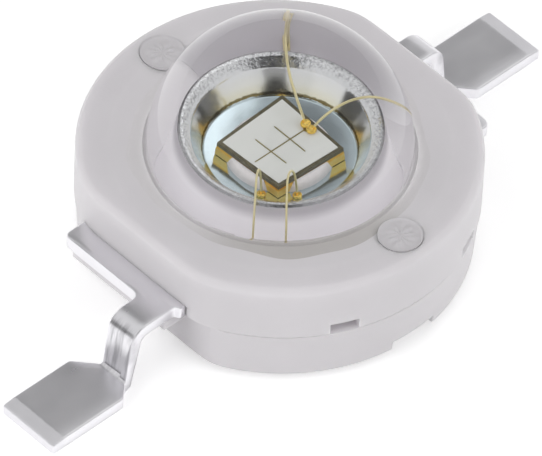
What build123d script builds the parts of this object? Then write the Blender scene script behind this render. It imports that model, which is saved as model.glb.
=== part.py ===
from build123d import *
from math import cos, radians, sin, tan
import os

# A high-power LED emitter: a round plastic body with two flats, a copper slug
# with a reflector cup, two gull-wing leads, a die on a submount, four bond
# wires and a clear dome lens over a silicone fill.
# Millimetres. +Z is up, the board is z = 0, and the leads run along X.
# Turned half a turn about Z, the leads, ports and pockets fall on themselves.

# Body
BODY_D = 8.0
FLATS_DEPTH = 0.30
FLATS_CORNER_R = 1.0
FOOT_FLATS_DEPTH = 0.52
FOOT_DRAFT = 0.065
BODY_BOTTOM = 0.12
BODY_TOP = 2.57
RIM_ROUND = 0.16
FOOT_EDGE = 0.08
PARTING_STEP = 0.025

# Leads
SPAN = 14.5
LEAD_T = 0.29
LEAD_Z = 1.26
BEND_OUT = 1.13
BEND_R = 0.29
LEG_LEAN = 0.07
WING_OUT = 0.46
WING_BACK_OUT = 0.10
WING_Y0 = -1.68
WING_Y1 = 1.28
WING_CORNER_R = 0.14
NECK_Y = 0.815
NECK_W = 0.70
NECK_FILLET = 0.16
FOOT_Y = 0.72
FOOT_W = 1.45
FOOT_CORNER_R = 0.05
TIP_L = 0.30
TIP_DROP = 0.035
LEG_RUN = 0.29
SHOULDER_IN_RUN = 0.70
SHOULDER_OUT_RUN = 0.59
SHOULDER_R = 0.10

# Bond fingers of the leads, inside the recess
FINGER_GAP = 0.20
FINGER_HOLD = 0.27
FINGER_MID_DEG = 20.0
FINGER_HALF_DEG = 48.0

# Lens seat and recess of the body
RIM_W = 1.38
LENS_CENTRE_Z = 2.55
SEAT_Z = 2.30
SEAT_W = 0.27
LENS_CLEAR = 0.06
MOUTH_W = 0.26
MOUTH_DEPTH = 0.05
DISH_W = 0.42
DISH_DEPTH = 0.07
LENS_WALL = 0.42
CAVITY_DROP = 0.10

# Silicone
BEAD_CLIMB = 0.03
PORT_D = 0.90
PORT_X = -0.05
PORT_MARGIN = 0.20
PORT_EDGE_R = 0.05
PORT_FLOOR_Z = 1.75
CHANNEL_W = 0.70
CHANNEL_ROOF = 0.15
PLUG_DROP = 0.05

# Moulding details
POCKET_W = 0.60
POCKET_DEPTH = 0.32
POCKET_DEG = 24.5
LEDGE_OUT = 0.37
LEDGE_H = 0.28
LEDGE_INSET = 0.16
GATE_W = 1.10
GATE_H = 0.25
GATE_DEPTH = 0.42
SLIT_W = 0.05
SLIT_DEPTH = 0.12

# Heat slug
SLUG_COVER = 0.95
SLUG_FLANGE_Z = 0.62
SLUG_LIP = 0.30
SLUG_STEP_Z = 0.26
SLUG_WAIST_STEP = 0.35
SLUG_WAIST_Z = 0.95
SLUG_EDGE = 0.06
CUP_RIM_Z = 2.60
CUP_RIM_D = 2.66
CUP_WALL = 0.14
CUP_FLOOR_Z = 2.28
CUP_FLOOR_D = 2.06
CUP_LIP_EDGE = 0.04

# Die stack on the cup floor
ATTACH_T = 0.010
ATTACH_MARGIN = 0.29
ATTACH_CLIMB = 0.095
SUBMOUNT_SHARE = 0.607
SUBMOUNT_T = 0.120
CARRIER_INSET = 0.005
CARRIER_T = 0.100
EPI_INSET = 0.055
EPI_T = 0.010

# Top electrode of the die
METAL_T = 0.006
BAR_W = 0.016
BAR_INSET = 0.055
CROSS_X = (-0.19, 0.17)
CROSS_INSET = 0.255
PAD_INSET = 0.075
PAD_Y = -0.03
PAD_D = 0.15

# Bond wires: two from the pad of the die, two from the cup floor
WIRE_D = 0.038
WIRE_SIDES = 6
BALL_D = 0.10
BALL_H = 0.045
PAD_BALL_STEP = Vector(-0.005, -0.065, 0)
CUP_BALL_INSET = 0.165
CUP_BALL_DEG = (208.0, 244.0)
STITCH_L = 0.09
STITCH_W = 0.06
STITCH_T = 0.019
STITCH_SHARE = 0.63
STITCH_DEG = (44.4, -18.3, 213.5, 229.5)
HEEL_BACK = 0.07
HEEL_RISE = 0.65
CORNER_SHARE = 0.42
# Loop of each wire: share of the way to the stitch, height above the cup rim
LOOPS = (
    ((0.08, 0.20), (0.37, 0.37)),
    ((0.10, 0.10), (0.37, 0.26)),
    ((0.02, -0.02), (0.20, 0.15)),
    ((0.02, -0.02), (0.20, 0.15)),
)
# Where each wire turns down: share of the gap from stitch to neck, and height
TURNS = ((0.79, 0.28), (0.93, 0.15), (0.90, 0.10), (0.90, 0.10))

BODY_R = BODY_D / 2
BODY_FOOT_R = BODY_R - PARTING_STEP - FOOT_DRAFT
FLATS_W = BODY_D - 2 * FLATS_DEPTH
FOOT_FLATS_W = BODY_D - 2 * FOOT_FLATS_DEPTH
FLAT_X = FLATS_W / 2
LEAD_TOP = LEAD_Z + LEAD_T
WING_X = FLAT_X + WING_OUT
WING_BACK_X = FLAT_X + WING_BACK_OUT
BEND_X = FLAT_X + BEND_OUT
SHOULDER_X0 = BEND_X + LEG_RUN
SHOULDER_IN_X = BEND_X + SHOULDER_IN_RUN
SHOULDER_OUT_X = BEND_X + SHOULDER_OUT_RUN
LENS_R = BODY_R - RIM_W
MOUTH_R = LENS_R + LENS_CLEAR
RECESS_R = LENS_R - SEAT_W
NECK_R = CUP_RIM_D / 2 + CUP_WALL
FINGER_R0 = NECK_R + FINGER_GAP
FINGER_R1 = RECESS_R + FINGER_HOLD
PORT_Y = MOUTH_R + PORT_MARGIN + PORT_D / 2
BEAD_R = MOUTH_R + MOUTH_W
DISH_Z = BODY_TOP - DISH_DEPTH
CHANNEL_TOP = SEAT_Z - CHANNEL_ROOF
WAIST_R = NECK_R + SLUG_WAIST_STEP
FLANGE_R = BODY_R - SLUG_COVER
BASE_R = FLANGE_R - SLUG_LIP
ATTACH_R = CUP_FLOOR_D / 2 - ATTACH_MARGIN
SUBMOUNT_W = CUP_FLOOR_D * SUBMOUNT_SHARE
CARRIER_W = SUBMOUNT_W - 2 * CARRIER_INSET
EPI_W = CARRIER_W - 2 * EPI_INSET
BAR_X0 = BAR_INSET - EPI_W / 2
CROSS_HALF = EPI_W / 2 - CROSS_INSET
PAD_X = EPI_W / 2 - PAD_INSET
STITCH_R = FINGER_R0 + (RECESS_R - FINGER_R0) * STITCH_SHARE
SUBMOUNT_Z = CUP_FLOOR_Z + ATTACH_T
CARRIER_Z = SUBMOUNT_Z + SUBMOUNT_T
EPI_Z = CARRIER_Z + CARRIER_T
DIE_TOP = EPI_Z + EPI_T
PAD_TOP = DIE_TOP + METAL_T


def revolved(*points):
    """Solid of revolution about Z from a closed (radius, height) outline."""
    outline = make_face(Plane.XZ * Polyline(*points, close=True))
    return revolve(outline, Axis.Z)


def box(x0, x1, y0, y1, z0, z1):
    """Box between two opposite corners."""
    corner = Pos((x0 + x1) / 2, (y0 + y1) / 2, (z0 + z1) / 2)
    return corner * Box(x1 - x0, y1 - y0, z1 - z0)


def rod(x, y, d, z0, z1):
    """Upright cylinder between two heights."""
    return Pos(x, y, (z0 + z1) / 2) * Cylinder(d / 2, z1 - z0)


def half_turn(shape):
    """The same shape on the opposite side of the body."""
    return Rot(0, 0, 180) * shape


def rounded_at(sketch, point, radius):
    """Rounds the corner of a flat outline that lies nearest to a point."""
    corner = sketch.vertices().sort_by_distance(Vector(*point))[0]
    return fillet(corner, radius)


# Leads: a strip bent in side view, cut to its outline in plan view.
def lead_plan():
    """Flat outline of the +X lead: finger, web, wing, neck and foot."""
    reach = FINGER_R1 * 2
    a0 = radians(FINGER_MID_DEG - FINGER_HALF_DEG)
    a1 = radians(FINGER_MID_DEG + FINGER_HALF_DEG)
    mid = radians(FINGER_MID_DEG)
    wedge = make_face(
        Polyline(
            (0, 0),
            (reach * cos(a0), reach * sin(a0)),
            (reach * cos(mid), reach * sin(mid)),
            (reach * cos(a1), reach * sin(a1)),
            close=True,
        )
    )
    finger = (Circle(FINGER_R1) - Circle(FINGER_R0)) & wedge
    web_x = (FINGER_R0 + FINGER_R1) / 2 * cos(mid)
    web = make_face(
        Polyline(
            (web_x, FINGER_R0 * sin(a0)),
            (FLAT_X - WING_CORNER_R, WING_Y0),
            (FLAT_X - WING_CORNER_R, WING_Y1),
            (web_x, FINGER_R1 * sin(mid)),
            close=True,
        )
    )
    neck_y0 = NECK_Y - NECK_W / 2
    neck_y1 = NECK_Y + NECK_W / 2
    foot_y0 = FOOT_Y - FOOT_W / 2
    foot_y1 = FOOT_Y + FOOT_W / 2
    inner_x = FLAT_X - 2 * WING_CORNER_R
    tip = (WING_X, WING_Y0)
    crook = (WING_X, neck_y0)
    inner_shoulder = (SHOULDER_IN_X, foot_y0)
    outer_shoulder = (SHOULDER_OUT_X, foot_y1)
    outside = make_face(
        Polyline(
            (inner_x, WING_Y0),
            tip,
            crook,
            (SHOULDER_X0, neck_y0),
            inner_shoulder,
            (SPAN / 2, foot_y0),
            (SPAN / 2, foot_y1),
            outer_shoulder,
            (SHOULDER_X0, neck_y1),
            (WING_BACK_X, neck_y1),
            (WING_BACK_X, WING_Y1),
            (inner_x, WING_Y1),
            close=True,
        )
    )
    outside = rounded_at(outside, tip, WING_CORNER_R)
    outside = rounded_at(outside, crook, NECK_FILLET)
    for shoulder in (inner_shoulder, outer_shoulder):
        outside = rounded_at(outside, shoulder, SHOULDER_R)
    for corner in ((SPAN / 2, foot_y0), (SPAN / 2, foot_y1)):
        outside = rounded_at(outside, corner, FOOT_CORNER_R)
    return finger + web + outside


def lead():
    """The +X lead, stamped to its outline and bent down to the board."""
    high = LEAD_Z + LEAD_T / 2
    low = LEAD_T / 2
    path = Plane.XZ * FilletPolyline(
        (0, high),
        (BEND_X, high),
        (BEND_X + LEG_LEAN, low),
        (SPAN / 2, low),
        radius=BEND_R,
    )
    width = 2 * (BODY_R + SPAN)
    strip = sweep(Plane.YZ * Pos(0, high) * Rectangle(width, LEAD_T), path)
    coined = make_face(
        Plane.XZ
        * Polyline(
            (SPAN / 2 - TIP_L, LEAD_T),
            (SPAN / 2, LEAD_T - TIP_DROP),
            (SPAN / 2, LEAD_T),
            close=True,
        )
    )
    coin = extrude(coined, BODY_D, both=True)
    return (strip & extrude(lead_plan(), LEAD_TOP)) - coin


# Heat slug
def heat_slug():
    """Turned copper slug: exposed base, locking flange, neck and reflector cup."""
    slug = revolved(
        (0, 0),
        (BASE_R, 0),
        (BASE_R, SLUG_STEP_Z),
        (FLANGE_R, SLUG_STEP_Z),
        (FLANGE_R, SLUG_FLANGE_Z),
        (WAIST_R, SLUG_FLANGE_Z),
        (WAIST_R, SLUG_WAIST_Z),
        (NECK_R, SLUG_WAIST_Z),
        (NECK_R, CUP_RIM_Z),
        (CUP_RIM_D / 2, CUP_RIM_Z),
        (CUP_FLOOR_D / 2, CUP_FLOOR_Z),
        (0, CUP_FLOOR_Z),
    )
    rim = slug.edges().filter_by(GeomType.CIRCLE).group_by(Axis.Z)[-1]
    slug = chamfer(rim, CUP_LIP_EDGE)
    foot = slug.edges().filter_by(GeomType.CIRCLE).group_by(Axis.Z)[0]
    return chamfer(foot, SLUG_EDGE)


# Body
def fill_port():
    """Space of the +Y fill port and of its channel to the recess."""
    port = rod(PORT_X, PORT_Y, PORT_D, PORT_FLOOR_Z, BODY_TOP)
    side = PORT_X - CHANNEL_W / 2
    channel = box(side, side + CHANNEL_W, NECK_R, PORT_Y, PORT_FLOOR_Z, CHANNEL_TOP)
    return port + (channel - rod(0, 0, 2 * RECESS_R, PORT_FLOOR_Z, CHANNEL_TOP))


def port_flare():
    """Chamfer round the mouth of the +Y port."""
    low = BODY_TOP - PORT_EDGE_R
    flare = Cone(PORT_D / 2, PORT_D / 2 + PORT_EDGE_R, PORT_EDGE_R)
    return Pos(PORT_X, PORT_Y, low + PORT_EDGE_R / 2) * flare


def slit():
    """Gap at the end of the +X wing, where the mould shuts off on the lead."""
    return box(FLAT_X - SLIT_DEPTH, BODY_R, WING_Y1, WING_Y1 + SLIT_W, LEAD_Z, LEAD_TOP)


def pocket(degrees):
    """Tie-bar pocket in the wall at the lead plane, that many degrees past +Y."""
    cut = box(
        -POCKET_W / 2, POCKET_W / 2, BODY_R - POCKET_DEPTH, BODY_D, LEAD_Z, LEAD_TOP
    )
    return Rot(0, 0, degrees) * cut


def ledge():
    """Lip of the body that carries the +X wing from below."""
    return box(
        0,
        FLAT_X + LEDGE_OUT,
        WING_Y0 + LEDGE_INSET,
        WING_Y1 - LEDGE_INSET,
        LEAD_Z - LEDGE_H,
        LEAD_Z,
    )


def flatted(shape, width):
    """A turned shape cut to two flats, their corners with the wall rounded."""
    shape = shape & box(-width / 2, width / 2, -BODY_D, BODY_D, 0, BODY_D)
    sides = shape.faces().filter_by(Axis.X).edges()
    return fillet(sides.filter_by(Axis.Y, reverse=True), FLATS_CORNER_R)


def housing(leads, slug):
    """Moulded body round the slug and the leads."""
    upper = revolved(
        (0, LEAD_Z),
        (BODY_R, LEAD_Z),
        (BODY_R, BODY_TOP),
        (BEAD_R + DISH_W, BODY_TOP),
        (BEAD_R, DISH_Z),
        (MOUTH_R, DISH_Z - MOUTH_DEPTH),
        (MOUTH_R, SEAT_Z),
        (RECESS_R, SEAT_Z),
        (RECESS_R, LEAD_TOP),
        (0, LEAD_TOP),
    )
    lower = revolved(
        (0, BODY_BOTTOM),
        (BODY_FOOT_R, BODY_BOTTOM),
        (BODY_R - PARTING_STEP, LEAD_Z),
        (0, LEAD_Z),
    )
    upper = flatted(upper, FLATS_W)
    lower = flatted(lower, FOOT_FLATS_W)
    rim = upper.faces().sort_by(Axis.Z)[-1].outer_wire().edges()
    upper = fillet(rim, RIM_ROUND)
    foot = lower.faces().sort_by(Axis.Z)[0].outer_wire().edges()
    lower = chamfer(foot, FOOT_EDGE)
    body = upper + lower + ledge() + half_turn(ledge())
    gate = box(
        -GATE_W / 2,
        GATE_W / 2,
        BODY_FOOT_R - GATE_DEPTH,
        BODY_D,
        BODY_BOTTOM,
        BODY_BOTTOM + GATE_H,
    )
    for cut in (gate, fill_port(), port_flare(), slit(), pocket(POCKET_DEG), pocket(-POCKET_DEG)):
        body = body - cut - half_turn(cut)
    for piece in leads + [slug]:
        body = body - piece
    return body


# Lens and silicone
def lens_cavity():
    """Space under the dome, down to the seat."""
    ball = Pos(0, 0, LENS_CENTRE_Z - CAVITY_DROP) * Sphere(LENS_R - LENS_WALL)
    return ball & rod(0, 0, BODY_D, SEAT_Z, BODY_D)


def lens():
    """Clear dome on a short skirt, hollow underneath."""
    dome = Pos(0, 0, LENS_CENTRE_Z) * Sphere(LENS_R)
    dome = dome & rod(0, 0, BODY_D, LENS_CENTRE_Z, BODY_D)
    skirt = rod(0, 0, 2 * LENS_R, SEAT_Z, LENS_CENTRE_Z)
    return dome + skirt - lens_cavity()


def bead():
    """Ring of silicone between the lens skirt and the mouth of the body."""
    return revolved(
        (LENS_R, SEAT_Z),
        (MOUTH_R, SEAT_Z),
        (MOUTH_R, DISH_Z - MOUTH_DEPTH),
        (BEAD_R, DISH_Z),
        (LENS_R, DISH_Z + BEAD_CLIMB),
    )


def plug():
    """Silicone that closes the +Y port and its channel."""
    level = BODY_TOP - PLUG_DROP
    return fill_port() & box(-BODY_D, BODY_D, 0, BODY_D, 0, level)


# Die stack
def square(width, z0, thickness):
    """Square plate centred on the axis."""
    half = width / 2
    return box(-half, half, -half, half, z0, z0 + thickness)


def die_attach():
    """Silver paste under the submount, with the beads squeezed out beside it."""
    paste = rod(0, 0, 2 * ATTACH_R, CUP_FLOOR_Z, SUBMOUNT_Z + ATTACH_CLIMB)
    return paste - square(SUBMOUNT_W, SUBMOUNT_Z, SUBMOUNT_T)


def electrode():
    """Top metal: a bar, two cross bars and the bond pad."""
    lines = box(
        BAR_X0, PAD_X, -BAR_W / 2 + PAD_Y / 2, BAR_W / 2 + PAD_Y / 2, DIE_TOP, PAD_TOP
    )
    for x in CROSS_X:
        lines += box(
            x - BAR_W / 2,
            x + BAR_W / 2,
            PAD_Y / 2 - CROSS_HALF,
            PAD_Y / 2 + CROSS_HALF,
            DIE_TOP,
            PAD_TOP,
        )
    return lines + rod(PAD_X, PAD_Y, PAD_D, DIE_TOP, PAD_TOP)


# Bond wires: each starts in a ball and ends in a stitch on a bond finger.
def at_angle(radius, degrees):
    """Point of the plan at a radius and an angle about the axis."""
    return Vector(radius * cos(radians(degrees)), radius * sin(radians(degrees)))


def wire_path(start, end, loop, turn_down):
    """Arc-cornered line over the cup rim, its loop given by (share, rise) pairs."""
    points = [start + Vector(0, 0, BALL_H / 2)]
    for share, rise in loop:
        along = start + (end - start) * share
        points.append(Vector(along.X, along.Y, CUP_RIM_Z + rise))
    back = Vector(start.X - end.X, start.Y - end.Y, 0).normalized()
    share, rise = turn_down
    over = end + back * (STITCH_R - NECK_R) * share
    points.append(Vector(over.X, over.Y, CUP_RIM_Z + rise))
    heel = end + back * HEEL_BACK
    points.append(heel + Vector(0, 0, HEEL_RISE))
    points.append(end + Vector(0, 0, WIRE_D / 2))
    radii = []
    for before, at, after in zip(points, points[1:], points[2:]):
        turn = (at - before).get_angle(after - at)
        run = min((at - before).length, (after - at).length)
        radii.append(CORNER_SHARE * run / tan(radians(turn / 2)))
    return FilletPolyline(*points, radius=radii)


def wire(start, end, loop, turn_down):
    """Gold wire from a ball at start to a flat stitch at end.

    So fine a wire is drawn six-sided, which keeps the facets few.
    """
    path = wire_path(start, end, loop, turn_down)
    outline = RegularPolygon(WIRE_D / 2, WIRE_SIDES)
    section = Plane(origin=path @ 0, z_dir=path % 0) * outline
    ball = rod(start.X, start.Y, BALL_D, start.Z, start.Z + BALL_H)
    flat = Box(STITCH_L, STITCH_W, STITCH_T)
    heading = Vector(1, 0, 0).get_signed_angle(end - start, Vector(0, 0, 1))
    stitch = Pos(end.X, end.Y, end.Z + STITCH_T / 2) * Rot(0, 0, heading) * flat
    return sweep(section, path) + ball + stitch


leads = [lead(), half_turn(lead())]
slug = heat_slug()
body = housing(leads, slug)

pad = Vector(PAD_X, PAD_Y, PAD_TOP)
balls = [pad - PAD_BALL_STEP, pad + PAD_BALL_STEP]
for degrees in CUP_BALL_DEG:
    balls.append(at_angle(CUP_FLOOR_D / 2 - CUP_BALL_INSET, degrees) + Vector(0, 0, CUP_FLOOR_Z))
stitches = []
for degrees in STITCH_DEG:
    stitches.append(at_angle(STITCH_R, degrees) + Vector(0, 0, LEAD_TOP))

nodes = {
    "housing": body,
    "heat_slug": slug,
    "lead_cathode": leads[0],
    "lead_anode": leads[1],
    "lens": lens(),
    "port_plug_1": plug(),
    "port_plug_2": half_turn(plug()),
    "die_attach": die_attach(),
    "submount": square(SUBMOUNT_W, SUBMOUNT_Z, SUBMOUNT_T),
    "die_carrier": square(CARRIER_W, CARRIER_Z, CARRIER_T),
    "die_epi": square(EPI_W, EPI_Z, EPI_T),
    "die_electrode": electrode(),
}
for i in range(4):
    nodes[f"bond_wire_{i + 1}"] = wire(balls[i], stitches[i], LOOPS[i], TURNS[i])

nodes["silicone_bead"] = bead() - nodes["port_plug_1"] - nodes["port_plug_2"]

# The silicone fills what is left under the lens and round the die.
gel = rod(0, 0, 2 * RECESS_R, LEAD_TOP, SEAT_Z) + lens_cavity()
for name, piece in nodes.items():
    if name not in ("housing", "lens", "port_plug_1", "port_plug_2", "silicone_bead"):
        gel = gel - piece
nodes["silicone_gel"] = gel

os.makedirs("parts", exist_ok=True)
for name, piece in nodes.items():
    export_step(piece, f"parts/{name}.step")
    print(name, round(piece.volume, 4))
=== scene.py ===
# %% [markdown]
# A high-power LED: a white moulded body with a clear dome, a silvered reflector
# cup under it, a die on a gilded plate, four gold wires and two bent leads.
# The CAD model is the frame. Its flat-sided pieces, such as the die, are shown as
# they are. Its round pieces come out of the frame in coarse facets, so each one is
# drawn again here as a smooth surface in the same place. The outlines are the CAD
# model's. Only small things differ: edge rounds, the paste's swell and the wires,
# which bow a little sideways here and start in larger balls.

# %% Load the frame
from math import cos, pi, radians, sin, tan
import bmesh
import bpy
import numpy as np
from mathutils import Matrix, Vector


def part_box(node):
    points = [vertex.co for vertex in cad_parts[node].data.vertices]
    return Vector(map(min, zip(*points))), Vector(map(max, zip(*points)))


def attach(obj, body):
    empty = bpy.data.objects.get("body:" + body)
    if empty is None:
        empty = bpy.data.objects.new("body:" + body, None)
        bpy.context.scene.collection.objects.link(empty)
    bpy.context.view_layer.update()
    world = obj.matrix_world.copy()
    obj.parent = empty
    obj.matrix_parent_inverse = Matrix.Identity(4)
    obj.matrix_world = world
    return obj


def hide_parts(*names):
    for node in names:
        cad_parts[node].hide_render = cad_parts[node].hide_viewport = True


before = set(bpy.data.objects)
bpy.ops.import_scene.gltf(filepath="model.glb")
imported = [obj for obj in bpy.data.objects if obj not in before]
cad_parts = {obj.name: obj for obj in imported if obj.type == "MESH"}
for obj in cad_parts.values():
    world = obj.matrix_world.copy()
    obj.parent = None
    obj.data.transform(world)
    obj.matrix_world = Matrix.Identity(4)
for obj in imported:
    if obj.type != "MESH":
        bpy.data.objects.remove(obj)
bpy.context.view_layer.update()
MM = 0.001


def reach(node):
    """Lowest and highest corner of a CAD node, in millimetres."""
    return [np.array(corner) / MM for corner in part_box(node)]


# %% [markdown]
# Sizes, in millimetres. What the frame tells is read from it, the rest are sizes
# inside a piece. In a name, R is a radius, X a distance along the leads, Y across
# them, Z a height and T a thickness. SINK is how far the silicone reaches into the
# solids round it, so that light crosses one face between them and not two.

# %% Sizes
(_, _, BODY_BOTTOM), (_, BODY_R, BODY_TOP) = reach("housing")
LENS_R = reach("lens")[1][0]
SEAT_Z = reach("lens")[0][2]
LENS_Z = reach("lens")[1][2] - LENS_R
RECESS_R = reach("silicone_gel")[1][0]
BEAD_R = reach("silicone_bead")[1][0]
FOOT_END, _, LEAD_TOP = reach("lead_cathode")[1]
FLANGE_R, _, RIM_Z = reach("heat_slug")[1]
FLOOR_Z = reach("die_attach")[0][2]
PAD_TOP = reach("die_electrode")[1][2]
FLAT_X = 3.70
FOOT_FLAT_X = 3.48
BODY_FOOT_R = 3.91
LEAD_T = 0.29
LEAD_Z = LEAD_TOP - LEAD_T
MOUTH_R = LENS_R + 0.06
DISH_Z = BODY_TOP - 0.07
DISH_R = 3.36
BASE_R = 2.75
FLANGE_Z0, FLANGE_Z1 = 0.26, 0.62
WAIST_R, WAIST_TOP = 1.82, 0.95
NECK_R = 1.47
CUP_RIM_R = 1.33
CUP_FLOOR_R = 1.03
WING_X, WING_Y0, WING_Y1 = 4.16, -1.68, 1.28
NECK_Y0, NECK_Y1 = 0.465, 1.165
FOOT_Y0, FOOT_Y1 = -0.005, 1.445
BEND_X, BEND_R, LEG_LEAN = 4.83, 0.29, 0.07
EDGE_R = 0.04
COINED_X, COINED_T = 0.30, 0.035
FINGER_R0, FINGER_R1, FINGER_DEG0, FINGER_DEG1 = 1.67, 2.62, -28, 68
CAVITY_R, CAVITY_DROP = 2.20, 0.10
CLEAR_IOR = 1.41
SINK = 0.005
print("body", BODY_R, BODY_TOP, "lens", LENS_R, LENS_Z, "rim", RIM_Z, "floor", FLOOR_Z)

# %% [markdown]
# Helpers for surfaces. Most pieces are one grid of points, worked out at once from
# two parameters. The grid becomes quads, double points at poles are merged, open
# ends are closed and the faces are turned outwards.


# %% Surface helpers
def new_object(name, data):
    """Object in the scene that holds the data."""
    thing = bpy.data.objects.new(name, data)
    bpy.context.scene.collection.objects.link(thing)
    return thing


def around(r, a, z, centre=(0, 0)):
    """Grid of points (r cos a, r sin a, z) round an upright axis."""
    return np.stack([centre[0] + r * np.cos(a), centre[1] + r * np.sin(a), z + 0 * a], -1)


def mesh_piece(name, points, loop_rows=False, loop_columns=True, crease=32):
    """Closed mesh over a grid of points in mm, rows by columns by three."""
    rows, columns = points.shape[:2]
    ids = np.arange(rows * columns).reshape(rows, columns)
    if loop_rows:
        ids = np.vstack([ids, ids[:1]])
    if loop_columns:
        ids = np.hstack([ids, ids[:, :1]])
    quads = np.stack([ids[:-1, :-1], ids[1:, :-1], ids[1:, 1:], ids[:-1, 1:]], -1)
    mesh = bpy.data.meshes.new(name)
    mesh.from_pydata(points.reshape(-1, 3) * MM, [], quads.reshape(-1, 4).tolist())
    tidy(mesh, crease)
    return new_object(name, mesh)


def tidy(mesh, crease):
    """Merges doubles, closes open ends, turns faces outwards and shades smoothly."""
    work = bmesh.new()
    work.from_mesh(mesh)
    bmesh.ops.remove_doubles(work, verts=work.verts, dist=2e-5 * MM)
    bmesh.ops.dissolve_degenerate(work, dist=1e-5 * MM, edges=work.edges)
    rim = [edge for edge in work.edges if edge.is_boundary]
    bmesh.ops.holes_fill(work, edges=rim, sides=0)
    bmesh.ops.recalc_face_normals(work, faces=work.faces)
    work.to_mesh(mesh)
    work.free()
    mesh.shade_smooth()
    mesh.set_sharp_from_angle(angle=radians(crease))


def rounded(corners, steps=7):
    """Outline through (r, z, radius) corners, each turned into an arc of its radius."""
    flat = np.array([corner[:2] for corner in corners], float)
    out = [flat[:1]]
    for i in range(1, len(corners) - 1):
        into = flat[i - 1] - flat[i]
        away = flat[i + 1] - flat[i]
        into, away = into / np.linalg.norm(into), away / np.linalg.norm(away)
        half = np.arccos(np.clip(into @ away, -1, 1)) / 2
        radius = corners[i][2]
        if radius == 0:
            out.append(flat[i : i + 1])
            continue
        middle = flat[i] + (into + away) / np.linalg.norm(into + away) * radius / sin(half)
        start = flat[i] + into * radius / tan(half) - middle
        end = flat[i] + away * radius / tan(half) - middle
        share = np.linspace(0, 1, steps)[:, None]
        turn = np.pi - 2 * half
        out.append(middle + (start * np.sin((1 - share) * turn) + end * np.sin(share * turn)) / sin(turn))
    out.append(flat[-1:])
    return np.vstack(out)


def turned(name, outline, steps=256, centre=(0, 0), loop=False, crease=32):
    """Surface of revolution: (r cos a, r sin a, z) over the outline and the angle a."""
    a = np.linspace(0, 2 * pi, steps, endpoint=False)[None]
    r, z = outline[:, :1], outline[:, 1:]
    return mesh_piece(name, around(r, a, z, centre), loop_rows=loop, crease=crease)


def rounded_box(name, low, high, radius, steps=4):
    """Box with round edges: each eighth of a small ball is moved out to its corner."""
    low, high = np.array(low, float) + radius, np.array(high, float) - radius
    quarter = np.linspace(0, pi / 2, steps)
    polar = np.concatenate([quarter, quarter + pi / 2])[:, None]
    around = np.concatenate([quarter + k * pi / 2 for k in range(4)])[None]
    normal = np.stack(
        [np.sin(polar) * np.cos(around), np.sin(polar) * np.sin(around), np.cos(polar) + 0 * around], -1
    )
    ahead = np.repeat([1, 0, 0, 1], steps)[None] + 0 * polar
    left = np.repeat([1, 1, 0, 0], steps)[None] + 0 * polar
    up = np.repeat([1, 0], steps)[:, None] + 0 * around
    side = np.stack([ahead, left, up], -1)
    return mesh_piece(name, low + (high - low) * side + radius * normal)


def cut(piece, tool, operation="DIFFERENCE", crease=32):
    """Cuts a tool from a piece, or joins it to the piece, and drops the tool."""
    change = piece.modifiers.new("cut", "BOOLEAN")
    change.operation = operation
    change.solver = "MANIFOLD"
    change.object = tool
    bpy.context.view_layer.update()
    whole = piece.evaluated_get(bpy.context.evaluated_depsgraph_get())
    old = piece.data
    piece.data = bpy.data.meshes.new_from_object(whole)
    piece.modifiers.clear()
    piece.data.name = piece.name
    bpy.data.meshes.remove(old)
    bpy.data.objects.remove(tool)
    piece.data.shade_smooth()
    piece.data.set_sharp_from_angle(angle=radians(crease))


def turn_mesh(piece, degrees):
    """Turns the points of a piece about the axis of the LED."""
    a = radians(degrees)
    points = np.zeros(len(piece.data.vertices) * 3)
    piece.data.vertices.foreach_get("co", points)
    x, y, z = points.reshape(-1, 3).T
    points = np.stack([x * cos(a) - y * sin(a), x * sin(a) + y * cos(a), z], -1)
    piece.data.vertices.foreach_set("co", points.ravel())
    piece.data.update()


def show(piece, materials, slot, *nodes):
    """Gives a piece its materials and its body, and hides the CAD nodes it stands for. The slot is not used.
    """
    piece.data.materials.clear()
    for material in materials:
        piece.data.materials.append(material)
    piece.data.polygons.foreach_set("material_index", np.zeros(len(piece.data.polygons), np.int32))
    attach(piece, "root")
    if nodes:
        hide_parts(*nodes)
    print(piece.name, len(piece.data.polygons), "faces for", nodes)


def second_material(piece, chosen):
    """Gives the second material to the faces whose centre (x, y, z in mm) is chosen."""
    centre = np.zeros(len(piece.data.polygons) * 3)
    piece.data.polygons.foreach_get("center", centre)
    index = chosen(centre.reshape(-1, 3) / MM).astype(np.int32)
    piece.data.polygons.foreach_set("material_index", index)


# %% [markdown]
# Helpers for materials. Colours are written as sRGB and turned to linear light.
# One function adds a node: its options, then its sockets, each a value or a link.


# %% Material helpers
def srgb(code):
    """Linear colour of an sRGB hex code."""
    c = np.array([int(code[i : i + 2], 16) for i in (1, 3, 5)]) / 255
    linear = np.where(c <= 0.04045, c / 12.92, ((c + 0.055) / 1.055) ** 2.4)
    return (*linear.tolist(), 1.0)


COLOUR, SMOOTH = {"data_type": "RGBA"}, {"interpolation_type": "SMOOTHSTEP"}


def add(tree, kind, options=None, sockets=None):
    """Adds a shader node. A socket takes a value, a link or another node's first output."""
    node = tree.nodes.new("ShaderNode" + kind)
    for key, value in (options or {}).items():
        setattr(node, key, value)
    for key, value in (sockets or {}).items():
        if isinstance(value, bpy.types.Node):
            value = value.outputs[0]
        if isinstance(value, bpy.types.NodeSocket):
            tree.links.new(value, node.inputs[key])
        else:
            node.inputs[key].default_value = value
    return node


def new_material(name):
    """Empty material: its node tree and its Object coordinates in metres."""
    material = bpy.data.materials.new(name)
    material.use_nodes = True
    tree = material.node_tree
    tree.nodes.clear()
    place = add(tree, "TexCoord").outputs["Object"]
    return material, tree, place


def output(tree, shader):
    """Ends a node tree in a shader's socket."""
    add(tree, "OutputMaterial", {}, {"Surface": shader})


def per_mm(size):
    """Noise scale whose features are about that many millimetres wide."""
    return 1 / (size * MM)


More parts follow.
